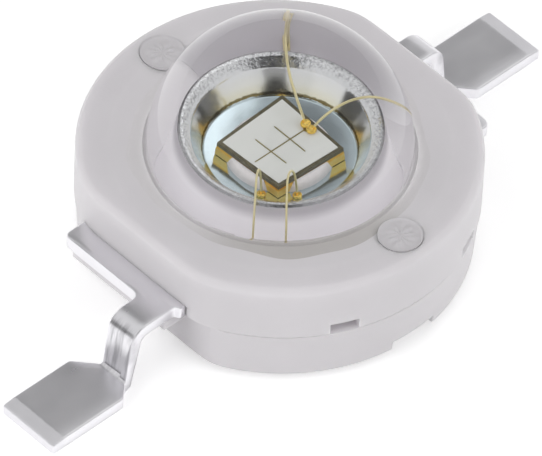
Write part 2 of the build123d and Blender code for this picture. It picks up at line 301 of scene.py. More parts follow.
def zone(place, low, high, start=0.0, end=1.0):
    """Sockets of a ramp from start to end between two places in millimetres."""
    return {"Value": place, "From Min": low * MM, "From Max": high * MM, "To Min": start, "To Max": end}


def from_axis(tree, place):
    """Distance from the LED's axis and the direction away from it, as sockets."""
    flat = add(tree, "VectorMath", {"operation": "MULTIPLY"}, {0: place, 1: (1.0, 1.0, 0.0)})
    radius = add(tree, "VectorMath", {"operation": "LENGTH"}, {0: flat})
    outward = add(tree, "VectorMath", {"operation": "NORMALIZE"}, {0: flat})
    return radius.outputs["Value"], outward


def flat_side(degrees):
    """Level unit vector at an angle about the axis."""
    return (cos(radians(degrees)), sin(radians(degrees)), 0.0)


# %% [markdown]
# The body is PPA, a stiff white nylon moulded round the slug and the leads. The
# tool leaves it satin, with a fine grain, and the white filler makes it look soft
# grey-white in studio light. Grain of 0.05 mm and slow waves of 0.8 mm are bumps,
# and faint mottling is in the colour. Light spreads 0.35 mm under the surface. What
# reaches the recess under the lens that way is drawn as a weak glow. It is full at
# the recess's floor, a third at the lens seat, and gone outside the mouth.

# %% White moulded PPA
ppa, tree, place = new_material("white_ppa_moulded")
mottle = add(tree, "TexNoise", {}, {"Vector": place, "Scale": per_mm(1.6), "Detail": 3.0})
shade = add(tree, "Mix", COLOUR, {"Factor": mottle, "A": srgb("#D7D4D7"), "B": srgb("#DFDCDF")})
grain = add(tree, "TexNoise", {}, {"Vector": place, "Scale": per_mm(0.05), "Detail": 2.0})
waves = add(tree, "TexNoise", {}, {"Vector": place, "Scale": per_mm(0.8), "Detail": 2.0})
fine = add(tree, "Bump", {}, {"Height": grain, "Distance": 0.004 * MM, "Strength": 0.5})
slow = add(tree, "Bump", {}, {"Height": waves, "Distance": 0.02 * MM, "Strength": 0.5, "Normal": fine})
sheen = add(tree, "MapRange", {}, {"Value": mottle, "To Min": 0.36, "To Max": 0.50})
radius, _ = from_axis(tree, place)
seep = add(tree, "MapRange", {}, zone(radius, RECESS_R + 0.02, MOUTH_R + 0.02, 0.13, 0.0))
level = add(tree, "SeparateXYZ", {}, {"Vector": place})
deep = add(tree, "MapRange", {}, zone(level.outputs["Z"], LEAD_TOP + 0.05, SEAT_Z, 1.0, 0.35))
seep = add(tree, "Math", {"operation": "MULTIPLY"}, {0: seep, 1: deep})
surface = add(
    tree, "BsdfPrincipled", {},
    {
        "Base Color": shade.outputs["Result"],
        "Emission Color": srgb("#F4F2F5"),
        "Emission Strength": seep,
        "Roughness": sheen,
        "Normal": slow,
        "IOR": 1.53,
        "Subsurface Weight": 1.0,
        "Subsurface Radius": (1.0, 1.0, 1.0),
        "Subsurface Scale": 0.35 * MM,
    },
)
output(tree, surface)
print(ppa.name)

# %% [markdown]
# The body is one closed surface. Each row of its grid is an outline in plan, a
# circle whose two sides may be cut flat, at one height, and the rows run from the
# recess over the rim and down under the base. A groove marks where the two halves
# of the mould met. Pockets, ports, slits and the gate recess are cut from the body
# afterwards, and the ledges under the wings are joined to it.


# %% Body
def body_surface():
    """Point (r cos a, r sin a, z), r the smooth least of the circle and the flat."""
    rim, foot, mouth, step, clear, no_flat = 0.16, 0.08, 0.03, 0.025, 0.01, 99.0
    round_rows = rounded(
        [
            (NECK_R + clear, LEAD_TOP - 0.004, 0),
            (RECESS_R, LEAD_TOP - 0.004, 0.02),
            (RECESS_R, SEAT_Z, 0.02),
            (MOUTH_R, SEAT_Z, 0.02),
            (MOUTH_R, DISH_Z - 0.05, mouth),
            (BEAD_R, DISH_Z, 0.10),
            (DISH_R, BODY_TOP, 0.5),
            (3.52, BODY_TOP, 0),
        ]
    )
    a = np.linspace(0, pi / 2, 9)
    rim_in = rim * (1 - np.sin(a))
    foot_in = foot * (1 - np.cos(a))
    rows = [(r, no_flat, z) for r, z in round_rows]
    rows += [(BODY_R - d, FLAT_X - d, BODY_TOP - rim + rim * cos(t)) for d, t in zip(rim_in, a)]
    rows += [(BODY_R, FLAT_X, z) for z in np.linspace(BODY_TOP - rim, LEAD_Z + 0.045, 6)[1:]]
    rows += [
        (BODY_R - 0.010, FLAT_X - 0.010, LEAD_Z + 0.030),
        (BODY_R - 0.085, FLAT_X - 0.012, LEAD_Z + 0.016),
        (BODY_R - step - 0.055, FOOT_FLAT_X, LEAD_Z),
        (BODY_R - step - 0.001, FOOT_FLAT_X, LEAD_Z - 0.022),
    ]
    foot_z = BODY_BOTTOM + foot - foot * np.sin(a)
    rows += [(BODY_FOOT_R - d, FOOT_FLAT_X - d, z) for d, z in zip(foot_in, foot_z)]
    under_rows = [
        (2.9, BODY_BOTTOM),
        (BASE_R + clear, BODY_BOTTOM),
        (BASE_R + clear, FLANGE_Z0),
        (FLANGE_R + clear, FLANGE_Z0),
        (FLANGE_R + clear, FLANGE_Z1 + clear),
        (WAIST_R + clear, FLANGE_Z1 + clear),
        (WAIST_R + clear, WAIST_TOP + clear),
        (NECK_R + clear, WAIST_TOP + clear),
    ]
    rows += [(r, no_flat, z) for r, z in under_rows]
    radius, flat, z = np.array(rows).T[:, :, None]
    a = np.linspace(0, 2 * pi, 720, endpoint=False)[None]
    power = 70.0
    across = np.abs(np.cos(a)) + 1e-9
    r = (radius**-power + (flat / across) ** -power) ** (-1 / power)
    return around(r, a, z)


housing = mesh_piece("moulded_body", body_surface(), loop_rows=True)
low, high = reach("port_plug_1")
PORT_R = (high[0] - low[0]) / 2
PORT = ((high[0] + low[0]) / 2, high[1] - PORT_R)
PORT_DEPTH_Z = low[2]
LEDGE_X, LEDGE_Y0, LEDGE_Y1, LEDGE_H = 4.07, -1.52, 1.12, 0.28
GATE_X, GATE_Y, GATE_H = 0.55, 3.49, 0.25
POCKET_X, POCKET_Y, POCKET_DEG = 0.30, 3.68, 24.5
SLIT_Y0, SLIT_Y1, SLIT_DEPTH = 1.28, 1.33, 0.12
OUTSIDE = 4.4
port_outline = rounded(
    [
        (0, PORT_DEPTH_Z, 0),
        (PORT_R, PORT_DEPTH_Z, 0),
        (PORT_R, BODY_TOP, 0.05),
        (PORT_R + 0.3, BODY_TOP + 0.002, 0),
        (PORT_R + 0.3, BODY_TOP + 0.2, 0),
        (0, BODY_TOP + 0.2, 0),
    ]
)
for half in (0, 180):
    ledge = rounded_box("ledge", (3.0, LEDGE_Y0, LEAD_Z - LEDGE_H), (LEDGE_X, LEDGE_Y1, LEAD_Z + SINK), 0.03)
    turn_mesh(ledge, half)
    cut(housing, ledge, "UNION")
    port = turned("port", port_outline, 96, PORT)
    turn_mesh(port, half)
    cut(housing, port)
    gate = rounded_box("gate", (-GATE_X, GATE_Y, -0.2), (GATE_X, OUTSIDE, BODY_BOTTOM + GATE_H), 0.03)
    turn_mesh(gate, half)
    cut(housing, gate)
    for side in (POCKET_DEG, -POCKET_DEG):
        pocket = rounded_box("pocket", (-POCKET_X, POCKET_Y, LEAD_Z), (POCKET_X, OUTSIDE, LEAD_TOP), 0.025)
        turn_mesh(pocket, half + side)
        cut(housing, pocket)
    slit = rounded_box("slit", (FLAT_X - SLIT_DEPTH, SLIT_Y0, LEAD_Z), (4.2, SLIT_Y1, LEAD_TOP), 0.01)
    turn_mesh(slit, half)
    cut(housing, slit)
show(housing, [ppa], "white_ppa", "housing")

# %% [markdown]
# Silver plating on copper, in three finishes. The leads are stamped from strip:
# brushed along it and a little dull, rough over the coined last 0.3 mm of the foot
# and with darker streaks down the leg. Heights and distances in
# these materials are measured from the board and from the axis, like all sizes.

# %% Silver plating
strip, tree, place = new_material("silver_plated_strip")
stretch = add(tree, "Mapping", {}, {"Vector": place, "Scale": (0.12, 1.0, 0.12)})
brushing = add(tree, "TexNoise", {}, {"Vector": stretch, "Scale": per_mm(0.06), "Detail": 4.0})
cloud = add(tree, "TexNoise", {}, {"Vector": place, "Scale": per_mm(0.7), "Detail": 3.0})
shade = add(tree, "Mix", COLOUR, {"Factor": cloud, "A": srgb("#ECEBEF"), "B": srgb("#F7F6F9")})
dull = add(tree, "MapRange", {}, {"Value": cloud, "To Min": 0.24, "To Max": 0.36})
scratch = add(tree, "Bump", {}, {"Height": brushing, "Distance": 0.0015 * MM, "Strength": 0.6})
apart = add(tree, "SeparateXYZ", {}, {"Vector": place})
out = add(tree, "Math", {"operation": "ABSOLUTE"}, {0: apart.outputs["X"]})
ragged = add(tree, "Math", {"operation": "MULTIPLY_ADD"}, {0: brushing, 1: 0.06 * MM, 2: out})
tip = add(tree, "MapRange", {}, zone(ragged, FOOT_END - 0.28, FOOT_END - 0.25))
leg_in = add(tree, "MapRange", SMOOTH, zone(out, BEND_X - 0.11, BEND_X + 0.07))
leg_out = add(tree, "MapRange", SMOOTH, zone(out, BEND_X + 0.22, BEND_X + 0.42, 1.0, 0.0))
leg = add(tree, "Math", {"operation": "MULTIPLY"}, {0: leg_in, 1: leg_out})
stripes = add(tree, "TexNoise", {}, {"Vector": stretch, "Scale": per_mm(0.11), "Detail": 5.0})
streak = add(tree, "MapRange", {}, {"Value": stripes, "From Min": 0.42, "From Max": 0.62, "To Max": 0.5})
marks = add(tree, "Math", {"operation": "MULTIPLY"}, {0: leg, 1: streak})
drawn = add(tree, "Mix", COLOUR, {"Factor": marks, "A": shade.outputs["Result"], "B": srgb("#8F8E93")})
coarse = add(tree, "Math", {"operation": "MULTIPLY_ADD"}, {0: tip, 1: 0.22, 2: dull})
surface = add(
    tree, "BsdfPrincipled", {},
    {"Base Color": drawn.outputs["Result"], "Metallic": 1.0, "Roughness": coarse, "Normal": scratch},
)
output(tree, surface)
print(strip.name)

# %% [markdown]
# The cup is coined and polished, so it is a near mirror. Its colour changes with
# height: a bluish floor, a brown ring of flux residue in the corner, then a warm
# and higher up a neutral wall. The top 0.08 mm is the lip, rougher and pitted where
# the punch left the metal, with darker flecks on its crest. The narrow bevel round
# the outside of the lip is painted darker: painted shade and reflection that make
# a dark line under the lip.

# %% Polished cup
LIP_LOW, LIP_HIGH, CREST = RIM_Z - 0.085, RIM_Z - 0.05, RIM_Z - 0.02
BEVEL_W, BEVEL_H = 0.034, 0.045
cup_silver, tree, place = new_material("silver_plated_coined_cup")
split = add(tree, "SeparateXYZ", {}, {"Vector": place})
lip_low = add(tree, "MapRange", SMOOTH, zone(split.outputs["Z"], LIP_LOW, LIP_HIGH))
pits = add(tree, "TexNoise", {}, {"Vector": place, "Scale": per_mm(0.045), "Detail": 3.0})
lip_rough = add(tree, "Math", {"operation": "MULTIPLY"}, {0: lip_low, 1: pits})
swirl = add(tree, "TexNoise", {}, {"Vector": place, "Scale": per_mm(0.5), "Detail": 2.0})
lip_bump = add(tree, "Bump", {}, {"Height": lip_rough, "Distance": 0.007 * MM, "Strength": 1.0})
soft_bump = add(
    tree, "Bump", {}, {"Height": swirl, "Distance": 0.012 * MM, "Strength": 0.5, "Normal": lip_bump}
)
polish = add(tree, "MapRange", {}, {"Value": lip_rough, "To Min": 0.12, "To Max": 0.26})
wander = add(tree, "Math", {"operation": "MULTIPLY_ADD"}, {0: pits, 1: 0.03 * MM, 2: split.outputs["Z"]})
up_wall = add(tree, "MapRange", {}, zone(wander, FLOOR_Z + 0.032, FLOOR_Z + 0.27))
tone = add(tree, "ValToRGB", {}, {"Fac": up_wall})
stops = tone.color_ramp.elements
stops[0].position, stops[0].color = 0.0, srgb("#D3E2E8")
stops[1].position, stops[1].color = 1.0, srgb("#E9EAEC")
for position, code in ((0.02, "#877A4C"), (0.09, "#766A40"), (0.15, "#E6E3CF"), (0.50, "#EAEAE4")):
    stops.new(position).color = srgb(code)
torn = add(tree, "TexNoise", {}, {"Vector": place, "Scale": per_mm(0.035), "Detail": 4.0, "Roughness": 0.7})
flecks = add(tree, "MapRange", {}, {"Value": torn, "From Min": 0.46, "From Max": 0.62, "To Max": 0.42})
crest = add(tree, "MapRange", SMOOTH, zone(split.outputs["Z"], CREST - 0.04, CREST))
lip_flecks = add(tree, "Math", {"operation": "MULTIPLY"}, {0: crest, 1: flecks})
flecked = add(tree, "Mix", COLOUR, {"Factor": lip_flecks, "A": tone.outputs["Color"], "B": srgb("#6F6D71")})
radius, _ = from_axis(tree, place)
bevel_r = NECK_R - BEVEL_W
# Painted shade: the bevel's colour is pulled towards #56535A, a painted dark line under the lip.
bevel_shade_mask = add(tree, "MapRange", {}, zone(radius, bevel_r - 0.002, bevel_r + 0.008, end=0.5))
bevel_shaded = add(tree, "Mix", COLOUR, {"Factor": bevel_shade_mask, "A": flecked.outputs["Result"], "B": srgb("#56535A")})
surface = add(
    tree, "BsdfPrincipled", {},
    {"Base Color": bevel_shaded.outputs["Result"], "Metallic": 1.0, "Roughness": polish, "Normal": soft_bump},
)
output(tree, surface)
print(cup_silver.name)

# %% [markdown]
# The neck's side is turned, not polished: matt, with fine lines round it. The bond
# fingers are as matt. Both get a painted glow for the light that seeps in through
# the body, and painted shade where little of it comes: right under the lip, and on
# the middle of the far finger behind the cup.

# %% Turned neck and bond fingers
FAR_FINGER_DEG = 45
turned_silver, tree, place = new_material("silver_plated_turned_side")
rings = add(tree, "Mapping", {}, {"Vector": place, "Scale": (0.05, 0.05, 1.0)})
lines = add(tree, "TexNoise", {}, {"Vector": rings, "Scale": per_mm(0.05), "Detail": 2.0})
groove = add(tree, "Bump", {}, {"Height": lines, "Distance": 0.003 * MM, "Strength": 0.6})
level = add(tree, "SeparateXYZ", {}, {"Vector": place})
under_lip = add(tree, "MapRange", SMOOTH, zone(level.outputs["Z"], RIM_Z - 0.42, RIM_Z - 0.14))
on_finger = add(tree, "Math", {"operation": "LESS_THAN"}, {0: level.outputs["Z"], 1: (LEAD_TOP + 0.01) * MM})
_, outward = from_axis(tree, place)
along = add(tree, "VectorMath", {"operation": "DOT_PRODUCT"}, {0: outward, 1: flat_side(FAR_FINGER_DEG)})
middle = add(tree, "MapRange", SMOOTH, {"Value": along.outputs["Value"], "From Min": 0.70, "From Max": 0.99})
finger = add(tree, "Math", {"operation": "MULTIPLY"}, {0: on_finger, 1: middle})
# Painted shade under the lip and on the far finger; the emission below is a painted glow that fades where
# that shade is.
darker = add(tree, "Math", {"operation": "MAXIMUM"}, {0: under_lip, 1: finger})
shade = add(tree, "Mix", COLOUR, {"Factor": darker, "A": srgb("#F4F2F5"), "B": srgb("#CFCCD1")})
seep = add(tree, "MapRange", {}, {"Value": darker, "To Min": 0.11, "To Max": 0.0})
surface = add(
    tree, "BsdfPrincipled", {},
    {
        "Base Color": shade.outputs["Result"],
        "Metallic": 0.4,
        "Roughness": 0.55,
        "Normal": groove,
        "Emission Color": srgb("#F4F2F5"),
        "Emission Strength": seep,
    },
)
output(tree, surface)
print(turned_silver.name)

# %% [markdown]
# The slug is turned copper: base, locking flange, waist, neck and reflector cup in
# one piece. Its outline is turned about the axis, with the small edge rounds that
# catch the light round the lip.

# %% Heat slug
slug_outline = rounded(
    [
        (0, 0, 0),
        (BASE_R, 0, 0.05),
        (BASE_R, FLANGE_Z0, 0),
        (FLANGE_R, FLANGE_Z0, 0.03),
        (FLANGE_R, FLANGE_Z1, 0.03),
        (WAIST_R, FLANGE_Z1, 0.02),
        (WAIST_R, WAIST_TOP, 0.02),
        (NECK_R, WAIST_TOP, 0.02),
        (NECK_R, RIM_Z - BEVEL_H, 0.015),
        (NECK_R - BEVEL_W, RIM_Z, 0.015),
        (CUP_RIM_R + 0.06, RIM_Z, 0.03),
        (CUP_RIM_R - 0.06, RIM_Z - 0.064, 0.03),
        (CUP_FLOOR_R, FLOOR_Z, 0.02),
        (0, FLOOR_Z, 0),
    ]
)
slug = turned("slug_and_cup", slug_outline, 256)
show(slug, [cup_silver, turned_silver], "silver_plated_copper", "heat_slug")
second_material(slug, lambda c: (np.hypot(c[:, 0], c[:, 1]) > NECK_R - 0.02) & (c[:, 2] < RIM_Z - 0.05))

# %% [markdown]
# A lead is one strip: bond finger, web, wing, neck and foot. In the flat it lies
# between two edge curves, and a row of the grid joins a point of one curve to a
# point of the other with a round-edged section. The flat strip is then bent: the
# heading along it turns down at the first bend and back at the second, and adding
# up the headings gives the place. The foot is coined thinner over its last 0.3 mm.
# The finger is a slice of a ring, joined to the strip.


# %% Leads
def strip_path():
    """Length, x, z and heading along the middle of the bent strip."""
    drop = LEAD_TOP - LEAD_T
    turn = pi / 2 - np.arctan(LEG_LEAN / drop)
    tangent = BEND_R * tan(turn / 2)
    arc = BEND_R * turn
    first = BEND_X - tangent
    leg = np.hypot(drop, LEG_LEAN) - 2 * tangent
    s = np.linspace(0, FOOT_END + 3, 20001)
    heading = turn * (np.clip((s - first) / arc, 0, 1) - np.clip((s - first - arc - leg) / arc, 0, 1))
    step = s[1] - s[0]
    x = np.concatenate([[0], np.cumsum(np.cos((heading[1:] + heading[:-1]) / 2)) * step])
    fall = np.concatenate([[0], np.cumsum(np.sin((heading[1:] + heading[:-1]) / 2)) * step])
    return s, x, LEAD_TOP - LEAD_T / 2 - fall, heading


def edge_curve(corners, rows):
    """Rounded edge through (x, y, radius) corners, each stretch with its count of rows."""
    curve = rounded(corners, 9)
    length = np.concatenate([[0], np.cumsum(np.linalg.norm(np.diff(curve, axis=0), axis=1))])
    marks = [length[np.argmin(np.hypot(curve[:, 0] - x, curve[:, 1] - y))] for x, y, _ in corners]
    at = np.concatenate([np.linspace(a, b, n, endpoint=False) for a, b, n in zip(marks, marks[1:], rows)])
    at = np.append(at, marks[-1])
    return np.stack([np.interp(at, length, curve[:, 0]), np.interp(at, length, curve[:, 1])], -1)


def strip_edges():
    """Both edges of the flat strip, with the inset at its tip and its rounded sides."""
    rows = (4, 8, 26, 14, 16, 30)
    near = edge_curve(
        [
            (2.45, -1.45, 0),
            (3.60, WING_Y0, 0),
            (WING_X, WING_Y0, 0.14),
            (WING_X, NECK_Y0, 0.16),
            (5.12, NECK_Y0, 0.12),
            (5.53, FOOT_Y0, 0.10),
            (FOOT_END, FOOT_Y0, 0),
        ],
        rows,
    )
    far = edge_curve(
        [
            (2.45, 1.1, 0),
            (3.60, WING_Y1, 0),
            (3.80, WING_Y1, 0.04),
            (3.86, NECK_Y1, 0.04),
            (5.12, NECK_Y1, 0.12),
            (5.42, FOOT_Y1, 0.10),
            (FOOT_END, FOOT_Y1, 0),
        ],
        rows,
    )
    round_end = np.linspace(0, pi / 2, 7)[1:]
    tip_x = FOOT_END - EDGE_R + EDGE_R * np.sin(round_end)
    tip_in = EDGE_R * (1 - np.cos(round_end))
    near[-1, 0] = far[-1, 0] = FOOT_END - EDGE_R
    near = np.vstack([near, np.stack([tip_x, FOOT_Y0 + tip_in], -1)])
    far = np.vstack([far, np.stack([tip_x, FOOT_Y1 - tip_in], -1)])
    inset = np.concatenate([np.zeros(len(near) - 6), tip_in])[:, None]

    a = np.linspace(-pi / 2, pi / 2, 9)
    dent = EDGE_R * (1 - np.cos(a))
    lift = np.where(a < 0, -1, 1) * (LEAD_T / 2 - EDGE_R) + EDGE_R * np.sin(a)
    return near, far, inset, dent, lift


def section_grid(near, far, inset, dent, lift):
    """Section round each row: place along, place across, height over the middle."""
    width = np.linalg.norm(far - near, axis=1)[:, None]
    inner = np.array([0.25, 0.5, 0.75])[None]
    share_near = dent[::-1][None] / width
    share_far = 1 - dent[None] / width
    top = 0 * width + inner
    share = np.hstack([share_far, top[:, ::-1], share_near, top])
    height = np.concatenate([lift, [LEAD_T / 2] * 3, lift[::-1], [-LEAD_T / 2] * 3])[None]
    height = height * (1 - inset / (LEAD_T / 2))
    flat = near[:, None] + (far - near)[:, None] * share[..., None]
    return flat[..., 0], flat[..., 1], height


def bent_lead():
    """The strip outside the body: each point is moved along and off the bent path."""
    along, y, height = section_grid(*strip_edges())
    s, x, z, heading = strip_path()
    past_bend = along > BEND_X + 0.12
    along = np.where(past_bend, np.interp(along, x, s), along)
    px, pz, turn = (np.interp(along, s, values) for values in (x, z, heading))
    slope = np.clip((px - (FOOT_END - COINED_X)) / COINED_X, 0, 1)
    height = np.where((height > 0) & (pz < LEAD_T), height - COINED_T * slope, height)
    grid = np.stack([px + height * np.sin(turn), y, pz + height * np.cos(turn)], -1)
    return mesh_piece("lead", grid, crease=40)


def bond_finger():
    """Slice of a flat ring: (r cos a, r sin a, z) over a closed section and the angle."""
    section = rounded(
        [
            (2.0, LEAD_TOP, 0),
            (FINGER_R1, LEAD_TOP, 0.03),
            (FINGER_R1, LEAD_Z, 0.03),
            (FINGER_R0, LEAD_Z, 0.03),
            (FINGER_R0, LEAD_TOP, 0.03),
            (2.0, LEAD_TOP, 0),
        ]
    )[:-1]
    a = np.radians(np.linspace(FINGER_DEG0, FINGER_DEG1, 65))[:, None]
    r, z = section[:, 0][None], section[:, 1][None]
    return mesh_piece("finger", around(r, a, z))


for name, half in (("cathode", 0), ("anode", 180)):
    lead = bent_lead()
    cut(lead, bond_finger(), "UNION", 40)
    turn_mesh(lead, half)
    lead.name = f"{name}_lead"
    show(lead, [strip, turned_silver], "silver_plated_strip", f"lead_{name}")
    second_material(lead, lambda c: np.hypot(c[:, 0], c[:, 1]) < RECESS_R + 0.1)

# %% [markdown]
# The lens is clear moulded plastic over clear silicone. The two bend light alike,
# so light turns only where it meets air, at the dome. The faces wetted by silicone
# are drawn as plain see-through, and only the dome and the dry skirt are glass.
# Light from the lamps goes straight through, or the cup would stay dark. The bead
# round the skirt is uneven and painted a little greyer in front, as painted shade
# for the dark recess seen through it.
# The skin of the silicone in the ports is hazy and lets little light in.


# %% Clear plastic and wetted faces
def clear_material(name, tint, roughness, bump=None, shade_side=None):
    """Clear material that lamps shine straight through, with painted shade towards one side."""
    material, tree, place = new_material(name)
    sockets = {"Base Color": srgb(tint), "Transmission Weight": 1.0, "IOR": CLEAR_IOR, "Roughness": roughness}
    if bump:
        size, height = bump
        noise = add(tree, "TexNoise", {}, {"Vector": place, "Scale": per_mm(size), "Detail": 2.0})
        bumps = add(tree, "Bump", {}, {"Height": noise, "Distance": height * MM, "Strength": 1.0})
        sockets["Normal"] = bumps
    # Painted shade: the colour darkens towards the given side.
    if shade_side:
        dark, degrees = shade_side
        _, outward = from_axis(tree, place)
        near = add(tree, "VectorMath", {"operation": "DOT_PRODUCT"}, {0: outward, 1: flat_side(degrees)})
        shade_mask = add(
            tree, "MapRange", SMOOTH, {"Value": near.outputs["Value"], "From Min": 0.55, "From Max": 0.99}
        )
        mixed = add(tree, "Mix", COLOUR, {"Factor": shade_mask, "A": srgb(tint), "B": srgb(dark)})
        sockets["Base Color"] = mixed.outputs["Result"]
    glass = add(tree, "BsdfPrincipled", {}, sockets)
    through = add(tree, "BsdfTransparent", {}, {"Color": srgb(tint)})
    path = add(tree, "LightPath")
    lamp = add(
        tree, "Math", {"operation": "MAXIMUM"},
        {0: path.outputs["Is Shadow Ray"], 1: path.outputs["Is Diffuse Ray"]},
    )
    both = add(tree, "MixShader", {}, {0: lamp, 1: glass, 2: through})
    output(tree, both)
    return material


lens_plastic = clear_material("clear_lens_plastic", "#FEFEFE", 0.0)
# The bead gets painted shade in front, its colour going to #C8C6BE towards 240 degrees.
silicone = clear_material("clear_silicone_open", "#FDFDFC", 0.12, (0.25, 0.03), ("#C8C6BE", 240))

skin, tree, place = new_material("hazy_silicone_skin")
cloud = add(tree, "TexNoise", {}, {"Vector": place, "Scale": per_mm(0.3), "Detail": 3.0})
dents = add(tree, "Bump", {}, {"Height": cloud, "Distance": 0.02 * MM, "Strength": 0.8})
hazy = add(
    tree, "BsdfPrincipled", {},
    {
        "Base Color": srgb("#D9D6D9"),
        "Transmission Weight": 0.12,
        "IOR": CLEAR_IOR,
        "Roughness": 0.28,
        "Normal": dents,
    },
)
output(tree, hazy)

wetted, tree, _ = new_material("clear_silicone_wetted")
passing = add(tree, "BsdfTransparent", {}, {"Color": srgb("#FEFEFE")})
output(tree, passing)
print(lens_plastic.name, silicone.name, skin.name, wetted.name)

# %% [markdown]
# The lens is a dome on a short skirt, hollow underneath. Its outline goes over the
# dome, down the skirt and back up inside the hollow.

# %% Lens
dome = np.linspace(0, pi / 2, 64)
hollow = np.linspace(np.arccos((SEAT_Z - SINK - LENS_Z + CAVITY_DROP) / CAVITY_R), 0, 48)
lens_outline = np.vstack(
    [
        np.stack([LENS_R * np.sin(dome), LENS_Z + LENS_R * np.cos(dome)], -1),
        [(LENS_R, DISH_Z - 0.01), (LENS_R, DISH_Z - 0.03), (LENS_R, SEAT_Z - SINK)],
        np.stack([CAVITY_R * np.sin(hollow), LENS_Z - CAVITY_DROP + CAVITY_R * np.cos(hollow)], -1),
    ]
)
lens = turned("dome_lens", lens_outline, 256, crease=30)


def is_wetted(centre):
    """Inside of the hollow, and the skirt under the silicone's level."""
    r = np.hypot(centre[:, 0], centre[:, 1])
    from_ball = np.hypot(r, centre[:, 2] - LENS_Z)
    dry = (from_ball > LENS_R - 0.02) & (centre[:, 2] > DISH_Z - 0.02)
    return ~dry


show(lens, [lens_plastic, wetted], "clear_lens", "lens")
second_material(lens, is_wetted)

# %% [markdown]
# Silicone fills the space under the lens. It stands as an uneven bead round the
# skirt, widest in front, and closes the two ports, where it set in swirled ridges.

# %% Silicone fill, bead and plugs
GAP = 0.004
fill_r = CAVITY_R - GAP
cast = np.linspace(0, np.arccos((SEAT_Z - SINK - LENS_Z + CAVITY_DROP) / CAVITY_R), 40)
fill_outline = np.vstack(
    [
        np.stack([fill_r * np.sin(cast), LENS_Z - CAVITY_DROP + fill_r * np.cos(cast)], -1),
        [
            (RECESS_R + SINK, SEAT_Z - SINK),
            (RECESS_R + SINK, LEAD_TOP - SINK),
            (NECK_R - SINK, LEAD_TOP - SINK),
            (NECK_R - SINK, RIM_Z - 0.02),
            (CUP_RIM_R + 0.02, RIM_Z - 0.02),
            (CUP_FLOOR_R + SINK, FLOOR_Z - SINK),
            (0, FLOOR_Z - SINK),
        ],
    ]
)
fill = turned("silicone_fill", fill_outline, 128)
show(fill, [wetted], "clear_silicone", "silicone_gel")


def bead_surface():
    """Ring section whose outer reach swells and shrinks round the lens."""
    a = np.linspace(0, 2 * pi, 360, endpoint=False)[None]
    swell = 0.05 * np.sin(3 * a + 0.4) + 0.035 * np.sin(7 * a + 2.1) + 0.02 * np.sin(13 * a)
    swell = swell + 0.17 * np.exp(-(((a - radians(229)) / 0.24) ** 2))
    share = np.linspace(0, 1, 14)[:, None]
    outer = BEAD_R + swell
    top_r = LENS_R - 0.01 + (outer - LENS_R) * share
    slump = (1 - share) ** 2
    level = DISH_Z - 0.01 + 0.012 * np.sin(5 * a) * (1 - share)
    top_z = level + 0.05 * slump - 0.012 * np.sin(pi * share)
    ground = np.interp(outer, [MOUTH_R, BEAD_R, DISH_R], [DISH_Z - 0.05, DISH_Z, BODY_TOP])
    top_z = top_z + (ground + 0.002 - level) * share**2
    seat = SEAT_Z - GAP + 0 * a
    r = np.vstack([top_r, outer, MOUTH_R + 0 * a, MOUTH_R + 0 * a, LENS_R - 0.01 + 0 * a])
    z = np.vstack([top_z, ground - 0.01, DISH_Z - 0.08 + 0 * a, seat, seat])
    return around(r, a, z)


bead = mesh_piece("silicone_ring", bead_surface(), loop_rows=True)
show(bead, [silicone, wetted], "clear_silicone", "silicone_bead")
second_material(bead, lambda c: np.hypot(c[:, 0], c[:, 1]) < LENS_R + 0.002)


def plug_surface():
    """Disc whose top swells at the middle and carries ridges that curl outwards."""
    a = np.linspace(0, 2 * pi, 160, endpoint=False)[None]
    t = np.linspace(0, 1, 44)[:, None]
    r = t * (PORT_R - 0.003)
    curl = np.sin(5 * a + 7 * t + 1.4 * np.sin(2 * a)) + 0.6 * np.sin(11 * a - 6 * t)
    curl = 0.7 * curl * np.sin(pi * np.clip(t * 1.1, 0, 1))
    top = BODY_TOP - 0.05 + 0.03 * (1 - t**2) + 0.016 * curl + 0.047 * t**12
    bottom = PORT_DEPTH_Z + GAP
    side = np.array([[PORT_R - 0.003, BODY_TOP - 0.2], [PORT_R - 0.003, bottom], [0, bottom]])
    r = np.vstack([r + 0 * a, side[:, :1] + 0 * a])
    z = np.vstack([top, side[:, 1:] + 0 * a])
    return around(r, a, z, PORT)


for number, half in ((1, 0), (2, 180)):
    plug = mesh_piece(f"port_silicone_{number}", plug_surface())
    turn_mesh(plug, half)
    show(plug, [skin], "clear_silicone", f"port_plug_{number}")

# %% [markdown]
# The die. Its top is the roughened light-emitting layer, pale and faintly lined.
# Its sides are the sawn carrier wafer, dark olive, over a thin layer of gold-tin
# solder. It stands on a gilded plate, and silver paste swells out beside the plate
# where it was pressed down.


# %% Die materials
def plain_material(name, colours, size, roughness, metallic, bump, stretch=(1, 1, 1), solder_top=None):
    """Material whose colour and roughness wander between two values, over any solder."""
    material, tree, place = new_material(name)
    moved = add(tree, "Mapping", {}, {"Vector": place, "Scale": stretch})
    noise = add(tree, "TexNoise", {}, {"Vector": moved, "Scale": per_mm(size), "Detail": 3.0})
    shade = add(tree, "Mix", COLOUR, {"Factor": noise, "A": srgb(colours[0]), "B": srgb(colours[1])})
    rough = add(tree, "MapRange", {}, {"Value": noise, "To Min": roughness[0], "To Max": roughness[1]})
    bumps = add(tree, "Bump", {}, {"Height": noise, "Distance": bump * MM, "Strength": 0.7})
    surface = add(
        tree, "BsdfPrincipled", {},
        {"Base Color": shade.outputs["Result"], "Metallic": metallic, "Roughness": rough, "Normal": bumps},
    )
    if solder_top is not None:
        level = add(tree, "SeparateXYZ", {}, {"Vector": place})
        low = add(tree, "Math", {"operation": "LESS_THAN"}, {0: level.outputs["Z"], 1: solder_top * MM})
        solder = add(
            tree, "BsdfPrincipled", {}, {"Base Color": srgb("#F0C052"), "Metallic": 1.0, "Roughness": 0.3}
        )
        surface = add(tree, "MixShader", {}, {0: low, 1: surface, 2: solder})
    output(tree, surface)
    print(name)
    return material


